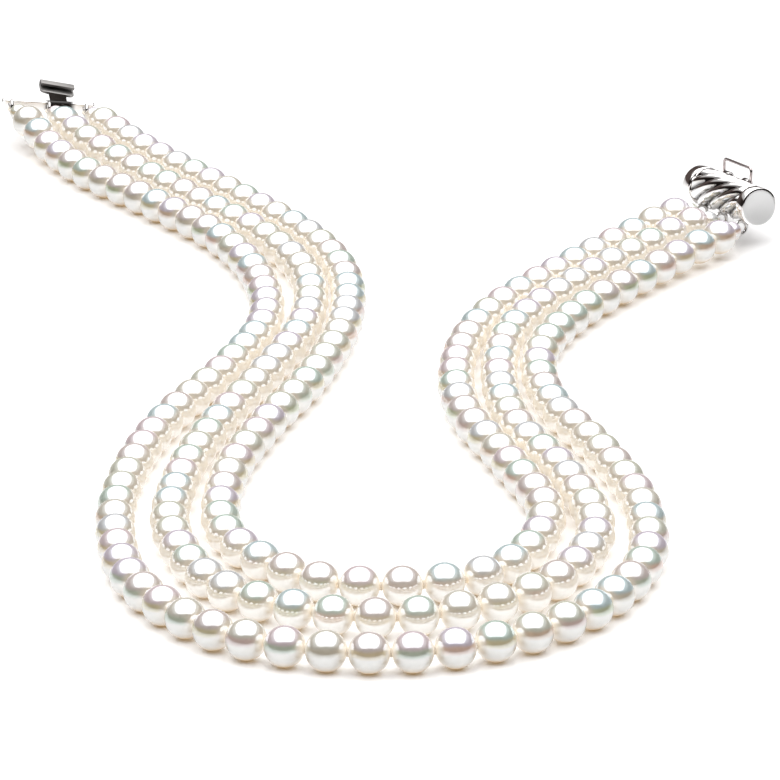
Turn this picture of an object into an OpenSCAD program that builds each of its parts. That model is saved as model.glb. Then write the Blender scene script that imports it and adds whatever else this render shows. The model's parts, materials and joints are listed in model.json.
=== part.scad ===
// Triple-strand pearl necklace with a rope-pattern barrel clasp, laid open on a flat surface.
// Millimetres, +Z up. The origin is the middle of the laid-out necklace, on the surface.
// The strands run from the end bar at the far left, round the front, to the barrel at the right.

/* [Pearls] */
// Diameter of a pearl
pearl_d = 5.55; // [4.5:0.05:8]
// Clear space between neighbouring pearls on a thread
pearl_gap = 0.11; // [0.1:0.01:0.5]
// Diameter of the small pearl at each end of a strand
end_pearl_d = 3.2; // [2.6:0.1:4.4]
// Diameter of the drill hole through a pearl
drill_d = 0.8; // [0.7:0.05:1.2]

/* [Thread] */
// Thickness of the silk thread
thread_d = 0.4; // [0.3:0.05:0.5]
// Clear space between a thread loop and the metal lug that it holds
eye_gap = 0.12; // [0.1:0.01:0.3]

/* [Lugs] */
// Distance between neighbouring lugs, on the barrel and on the end bar
lug_spacing = 6.6; // [6.2:0.1:7.4]
// Diameter of the hole in a lug
lug_hole_d = 1.5; // [1.3:0.05:1.8]
// Thickness of the lug wire
lug_wire_d = 0.6; // [0.4:0.05:0.8]

/* [Barrel] */
// Overall length of the barrel
barrel_l = 20; // [19:0.5:28]
// Diameter over the plain bands and over the crests of the rope
barrel_d = 6.5; // [6.2:0.1:8]
// Diameter of the bore between the end caps
bore_d = 4.4; // [4:0.1:4.8]
// Length of the plain polished band at each end
band_l = 2.2; // [1.5:0.1:3]
// Number of ropes twisted round the barrel
rope_count = 8; // [7:1:12]
// Length of barrel in which a rope goes once round
rope_lead = 30; // [24:1:50]
// Depth of the valley between two ropes
rope_depth = 0.6; // [0.3:0.05:0.65]
// Width of the thin rim round an end cap
cap_rim = 0.3; // [0.2:0.05:0.5]
// Thickness of an end cap
cap_t = 0.8; // [0.6:0.1:1.2]
// Clear space round an end cap
cap_gap = 0.04; // [0.02:0.01:0.1]

/* [Safety bail] */
// Distance between the two legs of the bail
bail_w = 9.4; // [8:0.1:11]
// Height of the bail above its hinge
bail_h = 2.55; // [2.2:0.05:4]
// Thickness of the bail wire
bail_wire_d = 0.5; // [0.4:0.05:0.8]
// Clear space round a bail pin in its hinge tube
hinge_gap = 0.1; // [0.05:0.01:0.2]
// Wall of a hinge tube
hinge_wall = 0.3; // [0.25:0.05:0.5]
// Length of each of the two hinge tubes, and of the bail's pin in it
hinge_tube_l = 1.8; // [1:0.1:3]

/* [Tongue and end bar] */
// Length of the end bar
bar_l = 16.4; // [15.4:0.2:20]
// Height of the end bar
bar_h = 1.6; // [1.4:0.1:3]
// Thickness of the end bar
bar_t = 1; // [0.8:0.1:1.6]
// Width of the tongue's head
head_w = 6.1; // [5:0.1:6.4]
// Length of the tongue's head
head_l = 3.2; // [3:0.1:4.1]
// Length of the upper leaf, from the fold back towards the bar
leaf_l = 1.9; // [1.5:0.1:2.7]
// Thickness of the sheet that the tongue is folded from
leaf_t = 0.4; // [0.3:0.05:0.5]
// Clear space that the spring keeps between the two leaves
leaf_spread = 0.5; // [0.4:0.05:0.7]
// Width of the tongue's neck
neck_w = 3.1; // [2:0.1:4]
// Length of the neck that shows behind the end bar
neck_l = 3.8; // [2:0.1:4.2]
// Clear space round the tongue in the barrel's slot
slot_gap = 0.2; // [0.1:0.05:0.4]
// Distance of the tongue from the middle lug, towards the inner strand
tongue_shift = 2; // [0:0.1:2.6]
// Clear space round the tongue's root in the end bar
root_gap = 0.03; // [0.02:0.01:0.1]

/* [Hidden] */

// Where each strand lies: points on its middle line, from the end bar to the barrel,
// in millimetres for pearls spaced route_pitch apart. The third value is the lift above the surface.
route_pitch = 5.66;
route_outer = [[-59.2, 111.6, 1.5], [-56.9, 105.7, 0.4], [-49.5, 90, 0], [-37, 71, 0], [-26, 52.5, 0],
    [-19, 31, 0], [-17.5, 9, 0], [-23, -13.5, 0], [-31, -35.5, 0], [-35.5, -57, 0], [-36.5, -80, 0],
    [-32, -102.5, 0], [-18, -120.5, 0], [3.5, -126, 0], [23.5, -117, 0], [35, -98, 0], [36.5, -75, 0],
    [32, -52.5, 0], [25.5, -31, 0], [24.5, -9, 0], [32, 12.5, 0], [47.5, 36, 0.4], [54.5, 44.5, 0.9]];
route_middle = [[-49.1, 103.8, 0.9], [-40, 89, 0], [-28.5, 69.5, 0], [-17.5, 50, 0], [-11, 29, 0],
    [-11.5, 6.5, 0], [-17, -16, 0], [-23.5, -37.5, 0], [-28, -59.5, 0], [-28.5, -82.5, 0],
    [-20, -104, 0], [0, -114, 0], [20.5, -105.5, 0], [29.5, -85, 0], [26.5, -62, 0], [20, -40.5, 0],
    [18, -18, 0], [21, 4, 0], [31, 24.5, 0], [44, 43.5, 0.4], [51, 52, 1]];
route_inner = [[-40.6, 102.8, 0.4], [-31.5, 88, 0], [-20, 68.5, 0], [-10, 49, 0], [-5, 28.5, 0],
    [-5.5, 5, 0], [-10, -18, 0], [-16.5, -38.5, 0], [-21.5, -61, 0], [-20.5, -84.5, 0],
    [-6.5, -101.5, 0], [14.5, -99, 0], [23, -78.5, 0], [18.5, -56, 0], [12.5, -34, 0], [12, -11.5, 0],
    [17, 10, 0], [28, 30, 0], [41, 48.5, 0.3], [48, 57, 1]];

// Where the barrel and the end bar lie, for the same pearl spacing, and how they are turned
clasp_place = [57.8, 60.5];
clasp_lift = 5.95;
clasp_turn = [0, -3.9, -64.6];
bar_place = [-57.8, 124.5];
bar_lift = 4.75;
bar_turn = [12, 7, 9.5];
tongue_roll = 7;                            // the tongue is a little twisted on the bar
// Moves them all, so that the middle of the laid-out necklace is over the origin
lay_shift = [-0.1, -0.9];

pitch = pearl_d + pearl_gap;
route_scale = pitch / route_pitch;
function laid(p) = (p + lay_shift) * route_scale;
clasp_at = concat(laid(clasp_place), [clasp_lift]);
bar_at = concat(laid(bar_place), [bar_lift]);

lug_r = (lug_hole_d + lug_wire_d) / 2;      // middle of the lug wire
lug_sink = 0.5;                             // depth of a lug wire in the metal that it is soldered to
barrel_r = barrel_d / 2;
lug_reach = barrel_r + lug_hole_d / 2 + lug_wire_d - lug_sink;
lug_angle = -58;                            // round the barrel, below the side that faces the strands
lug_shift = 1;                              // along the barrel, towards its near end
bar_lug_y = -(bar_t / 2 + lug_hole_d / 2 + lug_wire_d - lug_sink);
root_y = -bar_t / 2 + lug_sink + root_gap;  // the tongue's root stops short of the lug in front

eye_r = (lug_wire_d + thread_d) / 2 + eye_gap;  // middle of the thread loop
end_gap = 0.1;                              // between the loop's outside and the small pearl
end_reach = lug_r + eye_r + thread_d / 2 + end_gap + end_pearl_d / 2;

crest_r = barrel_r + 0.02;                  // the rope crests stand just proud of the plain bands
valley_r = crest_r - rope_depth;
rope_steps = 6;                             // corners across one rope
cap_r = barrel_r - cap_rim;
slot_w = head_w + 2 * slot_gap;
slot_x = lug_shift - tongue_shift;          // so that the lugs line up when the clasp is shut
slot_h = 2 * leaf_t + leaf_spread + 2 * slot_gap;

pin_r = bail_wire_d / 2;
hinge_r = pin_r + hinge_gap + hinge_wall;
hinge_sink = 0.45;                          // depth of a hinge tube in the ropes
hinge_angle = 38;                           // round the barrel, up from the side away from the strands
hinge_shift = -1.9;                         // along the barrel, away from its near end
hinge_at = [hinge_shift, (barrel_r + hinge_r - hinge_sink) * cos(hinge_angle),
    (barrel_r + hinge_r - hinge_sink) * sin(hinge_angle)];
leg_gap = 0.15;                             // between a bail leg and its hinge tube
hinge_end = bail_w / 2 - bail_wire_d - leg_gap; // outer end of a hinge tube, from the bail's middle
bail_lean = 86;                             // how the bail stands at rest, from level on the far side

smooth = 48;
fine = 24;
overlap = 0.02;                             // where two shapes of one piece join
past = 1;                                   // how far a cut runs past a face

// Rotation in the order of rotate([a, b, c])
function turned(v, a) =
    let (x = [v[0], v[1] * cos(a[0]) - v[2] * sin(a[0]), v[1] * sin(a[0]) + v[2] * cos(a[0])],
         y = [x[0] * cos(a[1]) + x[2] * sin(a[1]), x[1], -x[0] * sin(a[1]) + x[2] * cos(a[1])])
    [y[0] * cos(a[2]) - y[1] * sin(a[2]), y[0] * sin(a[2]) + y[1] * cos(a[2]), y[2]];

function unit(v) = v / norm(v);

// Centres of the lugs, place -1, 0 or 1 along the barrel or the bar
function barrel_lug(place) = [lug_shift + place * lug_spacing,
    -lug_reach * cos(lug_angle), lug_reach * sin(lug_angle)];
function bar_lug(place) = [place * lug_spacing, bar_lug_y, 0];

// The same lugs where the necklace lies, as centre and direction of the hole
function lug_on_barrel(place) =
    [clasp_at + turned(barrel_lug(place), clasp_turn), turned([1, 0, 0], clasp_turn)];
function lug_on_bar(place) =
    [bar_at + turned(bar_lug(place), bar_turn), turned([1, 0, 0], bar_turn)];

// A strand's whole track, from the centre of one lug to the centre of the other
function track_points(route, lugs) = concat([lugs[0][0]],
    [for (p = route) concat(laid([p[0], p[1]]), [p[2] + pearl_d / 2])], [lugs[1][0]]);

// Smooth curve through the points: one span, and then all of them
function span_point(a, b, c, d, u) =
    ((2 * b) + (c - a) * u + (2 * a - 5 * b + 4 * c - d) * u * u + (3 * b - a - 3 * c + d) * u * u * u) / 2;
span_steps = 24;
function curve(p) = let (n = len(p)) concat(
    [for (i = [0:n - 2]) for (k = [0:span_steps - 1])
        span_point(i > 0 ? p[i - 1] : 2 * p[0] - p[1], p[i], p[i + 1],
            i < n - 2 ? p[i + 2] : 2 * p[n - 1] - p[n - 2], k / span_steps)],
    [p[n - 1]]);

// Distance along the curve at each of its points, and the place at one distance
function distances(c) =
    [for (i = 0, s = 0; i < len(c); i = i + 1, s = i < len(c) ? s + norm(c[i] - c[i - 1]) : s) s];
function place_at(c, d, s) = [for (k = [0:2]) lookup(s, [for (i = [0:len(c) - 1]) [d[i], c[i][k]]])];

// A bead's centre and diameter at a distance along the curve, no lower than the surface lets it lie
function bead(c, d, s, size) = let (p = place_at(c, d, s)) [[p[0], p[1], max(p[2], size / 2)], size];

// Beads of one strand: a small pearl, the pearls, a small pearl
function beads(route, lugs) =
    let (c = curve(track_points(route, lugs)),
         d = distances(c),
         total = d[len(d) - 1],
         first = end_reach + end_pearl_d / 2 + pearl_gap,
         room = total - 2 * first + pearl_gap,
         count = floor(room / pitch),
         step = room / count)
    concat([bead(c, d, end_reach, end_pearl_d)],
        [for (i = [0:count - 1]) bead(c, d, first + pearl_d / 2 + i * step, pearl_d)],
        [bead(c, d, total - end_reach, end_pearl_d)]);

// Direction of the thread in a bead, from its neighbours; beyond the ends stand the lugs
function thread_way(b, lugs, i) =
    unit((i < len(b) - 1 ? b[i + 1][0] : lugs[1][0]) - (i > 0 ? b[i - 1][0] : lugs[0][0]));

lugs_outer = [lug_on_bar(-1), lug_on_barrel(1)];
lugs_middle = [lug_on_bar(0), lug_on_barrel(0)];
lugs_inner = [lug_on_bar(1), lug_on_barrel(-1)];
beads_outer = beads(route_outer, lugs_outer);
beads_middle = beads(route_middle, lugs_middle);
beads_inner = beads(route_inner, lugs_inner);

module string_of_pearls(b, lugs) {
    for (i = [0:len(b) - 1]) {
        way = thread_way(b, lugs, i);
        translate(b[i][0]) rotate([0, acos(way[2]), atan2(way[1], way[0])])
            difference() {
                sphere(d = b[i][1], $fn = smooth);
                cylinder(d = drill_d, h = b[i][1] + past, center = true, $fn = fine);
            }
    }
}

module strand_outer() { color("ivory") string_of_pearls(beads_outer, lugs_outer); }
module strand_middle() { color("floralwhite") string_of_pearls(beads_middle, lugs_middle); }
module strand_inner() { color("seashell") string_of_pearls(beads_inner, lugs_inner); }

// The thread's end: one turn round the lug wire next to the last bead, with its tip tucked under
eye_start = 30;
eye_turn = 320;
eye_steps = 10;
eye_drop = thread_d + eye_gap;
function eye(lug, bead) =
    let (away = bead - lug[0],
         out = unit(away - (away * lug[1]) * lug[1]),
         along = cross(lug[1], out),
         down = along[2] > 0 ? -along : along)
    [for (k = [0:eye_steps]) let (a = eye_start + eye_turn * k / eye_steps)
        lug[0] + out * (lug_r + eye_r * cos(a)) + lug[1] * eye_r * sin(a)
            + down * eye_drop * (k / eye_steps - 0.5)];
function reversed(p) = [for (i = [len(p) - 1:-1:0]) p[i]];
function thread_points(b, lugs) = concat(
    reversed(eye(lugs[0], b[0][0])),
    [for (i = [0:len(b) - 1]) for (s = [-1, 1])
        b[i][0] + s * thread_way(b, lugs, i) * b[i][1] / 2],
    eye(lugs[1], b[len(b) - 1][0]));

// A closed tube with flat ends along a list of points
tube_sides = 6;
function tube_ring(p, i, r) =
    let (n = len(p),
         way = unit(p[min(i + 1, n - 1)] - p[max(i - 1, 0)]),
         side = unit(cross(way, [0, 0, 1])),
         up = cross(side, way))
    [for (k = [0:tube_sides - 1]) let (a = 360 * (k + 0.5) / tube_sides)
        p[i] + r * (cos(a) * side + sin(a) * up)];
module tube(p, r) {
    n = len(p);
    corners = [for (i = [0:n - 1]) each tube_ring(p, i, r)];
    walls = [for (i = [0:n - 2]) for (k = [0:tube_sides - 1]) let (m = (k + 1) % tube_sides)
        [i * tube_sides + k, i * tube_sides + m, (i + 1) * tube_sides + m, (i + 1) * tube_sides + k]];
    ends = [[for (k = [tube_sides - 1:-1:0]) k],
        [for (k = [0:tube_sides - 1]) (n - 1) * tube_sides + k]];
    polyhedron(corners, concat(walls, ends));
}

module thread_outer() { color("wheat") tube(thread_points(beads_outer, lugs_outer), thread_d / 2); }
module thread_middle() { color("wheat") tube(thread_points(beads_middle, lugs_middle), thread_d / 2); }
module thread_inner() { color("wheat") tube(thread_points(beads_inner, lugs_inner), thread_d / 2); }

// A wire ring that stands across the barrel or the bar, for a thread loop
module lug() {
    rotate([0, 90, 0]) rotate_extrude($fn = fine)
        translate([lug_r, 0]) circle(d = lug_wire_d, $fn = fine);
}

// Outline of the twisted ropes: a row of round humps
rope_outline = [for (i = [0:rope_count * rope_steps - 1])
    let (a = 360 * i / (rope_count * rope_steps), hump = abs(sin(a * rope_count / 2)))
    (valley_r + rope_depth * hump) * [cos(a), sin(a)]];
rope_l = barrel_l - 2 * band_l;
rope_slices = 16;

module barrel_body() {
    rotate([0, 90, 0]) {
        linear_extrude(rope_l + overlap, center = true, twist = 360 * rope_l / rope_lead,
            slices = rope_slices) polygon(rope_outline);
        for (end = [-1, 1]) translate([0, 0, end * (barrel_l - band_l) / 2])
            cylinder(r = barrel_r, h = band_l, center = true, $fn = smooth);
    }
    for (place = [-1, 0, 1]) translate(barrel_lug(place)) lug();
    for (side = [-1, 1]) translate(hinge_at + [side * (hinge_end - hinge_tube_l / 2), 0, 0])
        rotate([0, 90, 0]) cylinder(r = hinge_r, h = hinge_tube_l, center = true, $fn = fine);
}

module clasp_barrel() {
    color("silver") translate(clasp_at) rotate(clasp_turn) difference() {
        barrel_body();
        rotate([0, 90, 0]) cylinder(d = bore_d, h = barrel_l + past, center = true, $fn = smooth);
        for (end = [-1, 1]) translate([end * barrel_l / 2, 0, 0]) rotate([0, 90, 0])
            cylinder(r = cap_r, h = 2 * cap_t, center = true, $fn = smooth);
        translate([slot_x - slot_w / 2, 0, -slot_h / 2]) cube([slot_w, barrel_r + past, slot_h]);
        translate(hinge_at) rotate([0, 90, 0])
            cylinder(r = pin_r + hinge_gap, h = 2 * hinge_end + past, center = true, $fn = fine);
    }
}

// A turned disc with a softened edge, set into the end of the barrel
module end_cap(end) {
    edge = 0.15;
    r = cap_r - cap_gap;
    color("gainsboro") translate(clasp_at) rotate(clasp_turn)
        translate([end * (barrel_l / 2 - cap_t + cap_gap), 0, 0]) rotate([0, end * 90, 0])
            rotate_extrude($fn = smooth)
                polygon([[0, 0], [r, 0], [r, cap_t - edge], [r - edge, cap_t], [0, cap_t]]);
}
module end_cap_far() { end_cap(-1); }
module end_cap_near() { end_cap(1); }

// One bent wire: a pin in each hinge tube, two legs and the bar across
module safety_bail() {
    leg_x = (bail_w - bail_wire_d) / 2;
    pin_start = hinge_end - hinge_tube_l;
    bend_r = 0.6;
    color("silver") translate(clasp_at) rotate(clasp_turn) translate(hinge_at)
        rotate([bail_lean - 90, 0, 0]) {
            for (side = [-1, 1]) mirror([side < 0 ? 1 : 0, 0, 0]) {
                translate([pin_start, 0, 0]) rotate([0, 90, 0])
                    cylinder(r = pin_r, h = leg_x - pin_start, $fn = fine);
                translate([leg_x, 0, 0]) sphere(r = pin_r, $fn = fine);
                translate([leg_x, 0, 0]) cylinder(r = pin_r, h = bail_h - bend_r, $fn = fine);
                translate([leg_x - bend_r, 0, bail_h - bend_r]) rotate([90, 0, 0])
                    rotate_extrude(angle = 90, $fn = smooth)
                        translate([bend_r, 0]) circle(r = pin_r, $fn = fine);
            }
            translate([0, 0, bail_h]) rotate([0, 90, 0])
                cylinder(r = pin_r, h = 2 * (leg_x - bend_r), center = true, $fn = fine);
        }
}

// A plate with round corners, its three lugs in front and a slot for the tongue's root
module end_bar() {
    corner = 0.5;
    color("silver") translate(bar_at) rotate(bar_turn) {
        difference() {
            rotate([90, 0, 0]) linear_extrude(bar_t, center = true) {
                square([bar_l - 2 * corner, bar_h], center = true);
                square([bar_l, bar_h - 2 * corner], center = true);
                for (x = [-1, 1]) for (z = [-1, 1])
                    translate([x * (bar_l / 2 - corner), z * (bar_h / 2 - corner)])
                        circle(r = corner, $fn = fine);
            }
            translate([tongue_shift, 0, 0]) rotate([0, tongue_roll, 0])
                translate([-neck_w / 2 - root_gap, root_y - root_gap, -leaf_t / 2 - root_gap])
                    cube([neck_w + 2 * root_gap, bar_t, leaf_t + 2 * root_gap]);
        }
        for (place = [-1, 0, 1]) translate(bar_lug(place)) lug();
    }
}

// Folded from one sheet: root and neck, a wide lower leaf, the fold, and a sprung upper leaf
module spring_tongue() {
    shoulder = 0.8;
    fold_r = leaf_t + leaf_spread / 2;
    head_y = bar_t / 2 + neck_l;
    flat_l = head_l - fold_r;
    color("gray") translate(bar_at) rotate(bar_turn)
    translate([tongue_shift, 0, 0]) rotate([0, tongue_roll, 0]) {
        translate([-neck_w / 2, root_y, -leaf_t / 2]) cube([neck_w, head_y + shoulder - root_y, leaf_t]);
        translate([0, 0, -leaf_t / 2]) linear_extrude(leaf_t) {
            translate([-head_w / 2, head_y + shoulder]) square([head_w, flat_l - shoulder]);
            translate([-head_w / 2 + shoulder, head_y]) square([head_w - 2 * shoulder, shoulder + overlap]);
            for (x = [-1, 1]) translate([x * (head_w / 2 - shoulder), head_y + shoulder])
                circle(r = shoulder, $fn = fine);
        }
        translate([-head_w / 2, head_y + flat_l, fold_r - leaf_t / 2]) rotate([0, 90, 0])
            difference() {
                cylinder(r = fold_r, h = head_w, $fn = smooth);
                translate([0, 0, -past]) cylinder(r = leaf_spread / 2, h = head_w + 2 * past, $fn = fine);
                translate([-fold_r - past, -fold_r - past, -past])
                    cube([2 * (fold_r + past), fold_r + past, head_w + 2 * past]);
            }
        translate([-head_w / 2, head_y + head_l - leaf_l, 2 * fold_r - 1.5 * leaf_t])
            cube([head_w, leaf_l - fold_r, leaf_t]);
    }
}

strand_outer();
strand_middle();
strand_inner();
thread_outer();
thread_middle();
thread_inner();
clasp_barrel();
end_cap_far();
end_cap_near();
safety_bail();
end_bar();
spring_tongue();
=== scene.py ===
import json
import math
import random
import bmesh
import bpy
import numpy as np
from mathutils import Matrix, Vector


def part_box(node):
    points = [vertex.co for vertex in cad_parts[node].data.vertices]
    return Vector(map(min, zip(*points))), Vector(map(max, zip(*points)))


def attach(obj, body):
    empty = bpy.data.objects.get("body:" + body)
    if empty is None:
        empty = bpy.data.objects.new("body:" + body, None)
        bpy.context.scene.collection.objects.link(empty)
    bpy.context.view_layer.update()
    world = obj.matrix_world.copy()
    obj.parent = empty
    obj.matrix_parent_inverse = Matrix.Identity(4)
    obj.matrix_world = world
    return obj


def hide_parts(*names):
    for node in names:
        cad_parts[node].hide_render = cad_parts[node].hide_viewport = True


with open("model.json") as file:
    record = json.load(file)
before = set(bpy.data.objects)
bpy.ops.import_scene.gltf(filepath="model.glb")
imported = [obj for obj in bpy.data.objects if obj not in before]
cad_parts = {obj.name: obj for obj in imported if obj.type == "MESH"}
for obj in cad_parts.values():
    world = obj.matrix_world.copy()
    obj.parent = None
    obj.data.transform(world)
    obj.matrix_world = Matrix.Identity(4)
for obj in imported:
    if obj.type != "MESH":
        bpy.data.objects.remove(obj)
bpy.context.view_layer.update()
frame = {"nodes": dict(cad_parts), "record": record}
mm = 0.001

# The camera stands where the photograph was taken from: low, in front, with a long lens
cameraSetup = {
    "place": (0.001579, -0.724795, 0.249297),
    "tiltDown": 19.4,        # degrees below level
    "roll": 0.888,           # degrees
    "lens": 230.77,          # in millimetres, like the width of the sensor
    "sensor": 36,
    "nearest": 0.01,         # metres in which things show
    "furthest": 50,
}


def addCamera():
    data = bpy.data.cameras.new("camera")
    data.lens = cameraSetup["lens"]
    data.sensor_width = cameraSetup["sensor"]
    data.clip_start = cameraSetup["nearest"]
    data.clip_end = cameraSetup["furthest"]
    camera = bpy.data.objects.new("camera", data)
    bpy.context.scene.collection.objects.link(camera)
    camera.matrix_world = (
        Matrix.Translation(cameraSetup["place"])
        @ Matrix.Rotation(math.radians(90 - cameraSetup["tiltDown"]), 4, "X")
        @ Matrix.Rotation(-math.radians(cameraSetup["roll"]), 4, "Z")
    )
    bpy.context.scene.camera = camera


addCamera()
bpy.context.scene.view_settings.view_transform = "Standard"
print("camera is in place")


# Small helpers for node trees
def addNode(tree, kind, **values):
    node = tree.nodes.new(kind)
    for name, value in values.items():
        setattr(node, name, value)
    return node


def addMath(tree, operation, first, second=None, third=None):
    node = addNode(tree, "ShaderNodeMath", operation=operation)
    for socket, value in zip(node.inputs, (first, second, third)):
        if value is None:
            continue
        if isinstance(value, (int, float)):
            socket.default_value = value
        else:
            tree.links.new(value, socket)
    return node.outputs[0]


def addRamp(tree, value, low, high, lowOut=0.0, highOut=1.0):
    node = addNode(tree, "ShaderNodeMapRange", interpolation_type="SMOOTHSTEP")
    tree.links.new(value, node.inputs["Value"])
    node.inputs["From Min"].default_value = low
    node.inputs["From Max"].default_value = high
    node.inputs["To Min"].default_value = lowOut
    node.inputs["To Max"].default_value = highOut
    return node.outputs["Result"]


def addMix(tree, factor, first, second, blend="MIX"):
    node = addNode(tree, "ShaderNodeMix", data_type="RGBA", blend_type=blend)
    sockets = (node.inputs["Factor"], node.inputs[6], node.inputs[7])
    for socket, value in zip(sockets, (factor, first, second)):
        if isinstance(value, (int, float)):
            socket.default_value = value
        elif isinstance(value, tuple):
            socket.default_value = (*value, 1) if len(value) == 3 else value
        else:
            tree.links.new(value, socket)
    return node.outputs[2]


def addNoise(tree, coordinates, scale, detail=2, roughness=0.5):
    node = addNode(tree, "ShaderNodeTexNoise")
    node.inputs["Scale"].default_value = scale
    node.inputs["Detail"].default_value = detail
    node.inputs["Roughness"].default_value = roughness
    tree.links.new(coordinates, node.inputs["Vector"])
    return node.outputs["Fac"]


def startMaterial(name):
    material = bpy.data.materials.new(name)
    material.use_nodes = True
    tree = material.node_tree
    shader = tree.nodes["Principled BSDF"]
    return material, tree, shader


def startGroup(name, inputs, outputs):
    group = bpy.data.node_groups.new(name, "ShaderNodeTree")
    for socketName, kind, value in inputs:
        socket = group.interface.new_socket(socketName, in_out="INPUT", socket_type=kind)
        socket.default_value = value
    for socketName, kind in outputs:
        group.interface.new_socket(socketName, in_out="OUTPUT", socket_type=kind)
    return group, group.nodes.new("NodeGroupInput"), group.nodes.new("NodeGroupOutput")


def placeGroup(tree, group, values):
    node = addNode(tree, "ShaderNodeGroup", node_tree=group)
    for name, value in values.items():
        socket = node.inputs[name]
        if isinstance(value, (int, float, tuple)):
            socket.default_value = value
        else:
            tree.links.new(value, socket)
    return node


noiseSpan = (0.3, 0.7)        # nearly all values of a noise lie between these
bumpDepth = 0.05 * mm


def addRoughness(tree, shader, noise, rough):
    tree.links.new(addRamp(tree, noise, *noiseSpan, *rough), shader.inputs["Roughness"])


def addBump(tree, shader, height, strength):
    bump = addNode(tree, "ShaderNodeBump")
    bump.inputs["Strength"].default_value = strength
    bump.inputs["Distance"].default_value = bumpDepth
    tree.links.new(height, bump.inputs["Height"])
    tree.links.new(bump.outputs[0], shader.inputs["Normal"])


# Light: one wide soft box with dimmer wings overhead, in a dark room
studio = {
    "boxSide": 1.12,          # half width of the box for each unit of its height
    "wingSide": 2.0,          # the same of the dimmer wings at its sides
    "wingShare": 0.17,        # their share of the light
    "boxTaper": 0.22,         # it is wider towards the camera
    "boxMiddle": 0.5,         # its middle lies behind the necklace
    "boxDeep": 1.42,          # half its depth
    "boxSquare": 3,           # 2 makes it an oval, more makes it squarer
    "boxEdge": 0.48,          # softness of its edge
    "boxLight": 2.8,
    "roomLight": 0.02,        # in front
    "wallLight": 0.1,         # behind, low down
    "wallRise": (0.1, 0.8),   # how far back it begins and is full
    "horizon": 0.0001,        # directions lower than this are lit as it is
    "roomColor": (1, 0.76, 0.7),
    "backdrop": (0.985, 0.985, 0.985),
}


def addStudioLight():
    world = bpy.data.worlds.new("studio")
    bpy.context.scene.world = world
    world.use_nodes = True
    tree = world.node_tree
    tree.nodes.clear()
    axes = addNode(tree, "ShaderNodeSeparateXYZ")
    tree.links.new(addNode(tree, "ShaderNodeTexCoord").outputs["Generated"], axes.inputs[0])
    x, y, z = axes.outputs
    height = addMath(tree, "MAXIMUM", z, studio["horizon"])
    across = addMath(tree, "DIVIDE", addMath(tree, "ABSOLUTE", x), height)
    along = addMath(tree, "DIVIDE", y, height)
    tapered = addMath(tree, "MULTIPLY_ADD", along, studio["boxTaper"], across)
    tapered = addMath(tree, "MAXIMUM", tapered, 0)
    off = addMath(tree, "ABSOLUTE", addMath(tree, "SUBTRACT", along, studio["boxMiddle"]))
    deep = addMath(tree, "POWER", addMath(tree, "DIVIDE", off, studio["boxDeep"]), studio["boxSquare"])
    shares = []
    for side, share in (("boxSide", 1 - studio["wingShare"]), ("wingSide", studio["wingShare"])):
        wide = addMath(tree, "POWER", addMath(tree, "DIVIDE", tapered, studio[side]), studio["boxSquare"])
        outline = addMath(tree, "ADD", wide, deep)
        shares.append(addRamp(tree, outline, 1 - studio["boxEdge"], 1 + studio["boxEdge"], share, 0))
    box = addMath(tree, "ADD", *shares)
    wall = addRamp(tree, y, *studio["wallRise"], studio["roomLight"], studio["wallLight"])
    light = addMath(tree, "MULTIPLY_ADD", box, studio["boxLight"], wall)
    lit = addNode(tree, "ShaderNodeBackground")
    tree.links.new(light, lit.inputs["Strength"])
    white = addRamp(tree, box, 0, studio["wingShare"])
    tree.links.new(addMix(tree, white, studio["roomColor"], (1, 1, 1)), lit.inputs["Color"])
    plain = addNode(tree, "ShaderNodeBackground")
    plain.inputs["Color"].default_value = (*studio["backdrop"], 1)
    pick = addNode(tree, "ShaderNodeMixShader")
    tree.links.new(addNode(tree, "ShaderNodeLightPath").outputs["Is Camera Ray"], pick.inputs[0])
    tree.links.new(lit.outputs[0], pick.inputs[1])
    tree.links.new(plain.outputs[0], pick.inputs[2])
    tree.links.new(pick.outputs[0], addNode(tree, "ShaderNodeOutputWorld").inputs[0])


tableSetup = {
    "size": 3.0,              # half width
    "squares": 8,
    "white": (0.945, 0.945, 0.945),
    "cloudWhite": (0.93, 0.93, 0.935),
    "cloudScale": 9,
    "rough": (0.1, 0.14),
    "shine": 0.35,
}


def addTable():
    material, tree, shader = startMaterial("glossyTable")
    coordinates = addNode(tree, "ShaderNodeTexCoord").outputs["Object"]
    cloud = addNoise(tree, coordinates, tableSetup["cloudScale"])
    white = addMix(tree, cloud, tableSetup["cloudWhite"], tableSetup["white"])
    tree.links.new(white, shader.inputs["Base Color"])
    addRoughness(tree, shader, cloud, tableSetup["rough"])
    shader.inputs["Specular IOR Level"].default_value = tableSetup["shine"]
    mesh = bpy.data.meshes.new("table")
    shape = bmesh.new()
    squares = tableSetup["squares"]
    bmesh.ops.create_grid(shape, x_segments=squares, y_segments=squares, size=tableSetup["size"])
    shape.to_mesh(mesh)
    shape.free()
    mesh.materials.append(material)
    table = bpy.data.objects.new("table", mesh)
    bpy.context.scene.collection.objects.link(table)


addStudioLight()
addTable()
print("studio is lit")


# Surface effects: the pearls' own tints with their painted glow, and one that all the metals share
overtone = {
    "softNoise": 420,         # scale of the drifts in tint
    "fineNoise": 2600,        # scale of the grain in the polish
    # heights of the surface's normal between which one tint or painted glow goes over into the next
    "upper": (0.3, 0.5),
    "middle": (-0.06, 0.12),
    "under": (-0.8, -0.25),
    "deep": (-0.92, -0.38),
    "near": (0.1, 0.4),       # how near other pearls have to be for the tone to give way to cream, a painted reflection of them
}


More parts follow.
